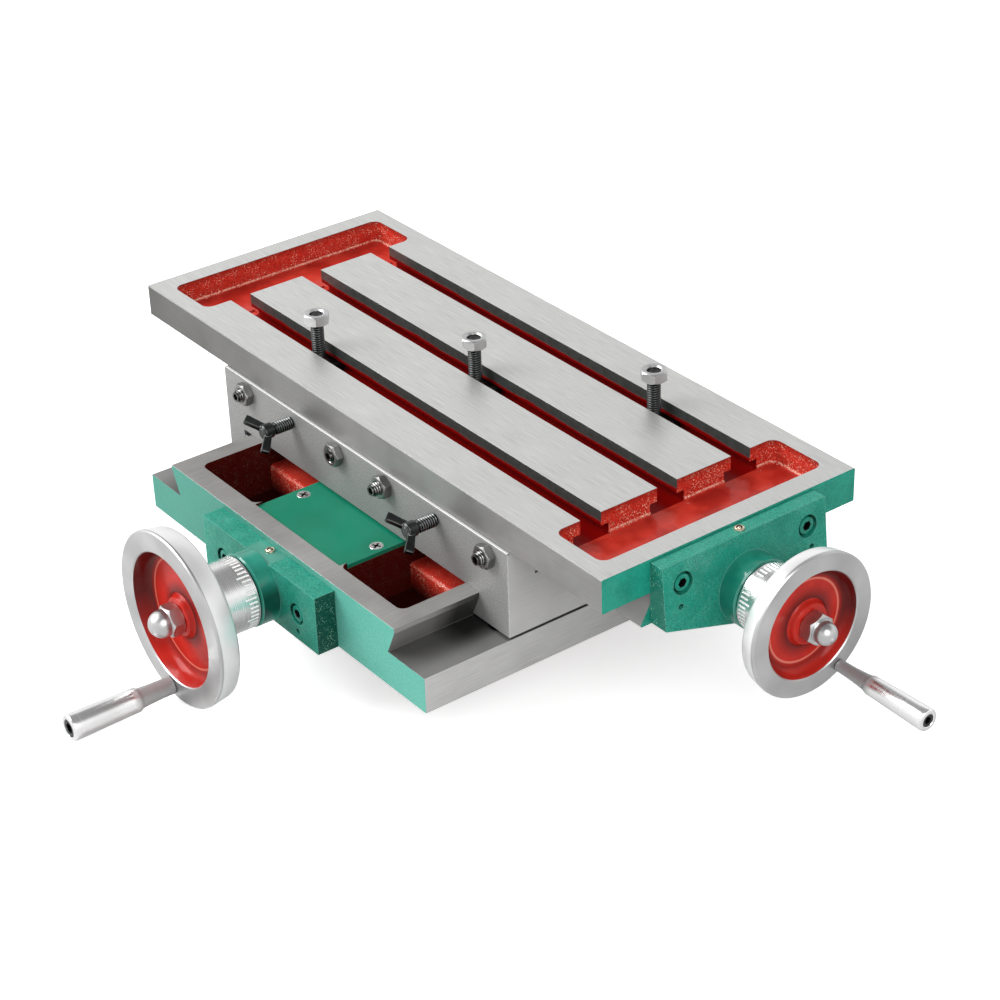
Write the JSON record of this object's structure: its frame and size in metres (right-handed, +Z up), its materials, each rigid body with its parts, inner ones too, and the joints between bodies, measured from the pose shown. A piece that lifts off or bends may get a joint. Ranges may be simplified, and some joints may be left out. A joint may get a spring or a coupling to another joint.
{
  "type": "milling table",
  "caption": "Compound milling table: T-slotted table with end pockets on a dovetailed saddle and base, crossed lead screws with dials, dished handwheels and turning grips.",
  "frame": {"origin": "centre of the base's machined underside", "axes": "+X along the table towards its handwheel, -Y towards the front handwheel, +Z up"},
  "size_m": [0.5764, 0.3883, 0.1554],
  "materials": {
    "green_paint": "green hammered enamel on cast iron, machined faces left bare",
    "ground_iron": "ground and brushed, red enamel in the cast pockets",
    "bright_steel": "turned and polished, red enamel on the wheels' webs",
    "steel": "machined",
    "zinc_steel": "bright zinc or nickel plated",
    "black_steel": "black oxide",
    "bronze": "machined bronze",
    "brass": "bright"
  },
  "bodies": {
    "base": {"base_casting": "green_paint", "cover_plate": "green_paint", "cover_plate_screws": "zinc_steel", "front_bracket": "green_paint", "front_bracket_screws": "steel", "front_dowels": "steel", "front_oiler": "brass", "front_bush": "bronze"},
    "saddle": {"saddle": "ground_iron", "long_gib": "steel", "cross_gib": "steel", "long_gib_screws": "steel", "long_gib_nuts": "zinc_steel", "cross_gib_screws": "steel", "cross_gib_nuts": "zinc_steel", "long_feed_nut": "bronze", "cross_feed_nut": "bronze", "feed_nut_screws": "steel"},
    "table": {"table": "ground_iron", "end_bracket": "green_paint", "end_bracket_screws": "steel", "end_dowels": "steel", "end_oiler": "brass", "end_bush": "bronze"},
    "cross_screw": {"cross_lead_screw": "steel", "cross_thrust_washer": "bronze", "cross_key": "steel", "front_dial": "bright_steel", "front_handwheel": "bright_steel", "front_cap_nut": "bright_steel", "front_grip_spindle": "black_steel"},
    "front_grip": {"front_grip": "bright_steel"},
    "long_screw": {"long_lead_screw": "steel", "long_thrust_washer": "bronze", "long_key": "steel", "end_dial": "bright_steel", "end_handwheel": "bright_steel", "end_cap_nut": "bright_steel", "end_grip_spindle": "black_steel"},
    "end_grip": {"end_grip": "bright_steel"},
    "long_lock_left": {"long_lock_left": "black_steel"},
    "long_lock_right": {"long_lock_right": "black_steel"},
    "cross_lock": {"cross_lock": "black_steel"},
    "t_bolt_front": {"t_bolt_front": "black_steel", "t_bolt_nut_front": "zinc_steel"},
    "t_bolt_middle": {"t_bolt_middle": "black_steel", "t_bolt_nut_middle": "zinc_steel"},
    "t_bolt_rear": {"t_bolt_rear": "black_steel", "t_bolt_nut_rear": "zinc_steel"}
  },
  "joints": [
    {"name": "cross_slide", "type": "slide", "parent": "base", "child": "saddle", "axis": [0, 1, 0], "range_m": [-0.055, 0.055]},
    {"name": "long_slide", "type": "slide", "parent": "saddle", "child": "table", "axis": [1, 0, 0], "range_m": [-0.076, 0.14]},
    {"name": "cross_screw_turn", "type": "hinge", "parent": "base", "child": "cross_screw", "pos_m": [0, -0.125, 0.0183], "axis": [0, 1, 0], "range_deg": [-7920, 7920]},
    {"name": "long_screw_turn", "type": "hinge", "parent": "table", "child": "long_screw", "pos_m": [0.2185, 0.0218, 0.0645], "axis": [1, 0, 0], "range_deg": [-10944, 20160]},
    {"name": "front_grip_spin", "type": "hinge", "parent": "cross_screw", "child": "front_grip", "pos_m": [-0.006, -0.1977, -0.0279], "axis": [0, -1, 0], "continuous": true},
    {"name": "end_grip_spin", "type": "hinge", "parent": "long_screw", "child": "end_grip", "pos_m": [0.2795, 0.0412, 0.0321], "axis": [1, 0, 0], "continuous": true},
    {"name": "long_lock_left_turn", "type": "hinge", "parent": "saddle", "child": "long_lock_left", "pos_m": [-0.0675, -0.0684, 0.069], "axis": [0, -1, 0], "range_deg": [-90, 180]},
    {"name": "long_lock_right_turn", "type": "hinge", "parent": "saddle", "child": "long_lock_right", "pos_m": [0.0762, -0.0684, 0.069], "axis": [0, -1, 0], "range_deg": [-90, 180]},
    {"name": "cross_lock_turn", "type": "hinge", "parent": "saddle", "child": "cross_lock", "pos_m": [-0.141, 0.0218, 0.0303], "axis": [-1, 0, 0], "range_deg": [-90, 180]},
    {"name": "t_bolt_front_slide", "type": "slide", "parent": "table", "child": "t_bolt_front", "axis": [1, 0, 0], "range_m": [-0.076, 0.245]},
    {"name": "t_bolt_middle_slide", "type": "slide", "parent": "table", "child": "t_bolt_middle", "axis": [1, 0, 0], "range_m": [-0.161, 0.16]},
    {"name": "t_bolt_rear_slide", "type": "slide", "parent": "table", "child": "t_bolt_rear", "axis": [1, 0, 0], "range_m": [-0.26, 0.062]}
  ],
  "couplings": [
    {"joint": "cross_screw_turn", "follows": "cross_slide", "rad_per_m": 2513.3},
    {"joint": "long_screw_turn", "follows": "long_slide", "rad_per_m": 2513.3}
  ]
}
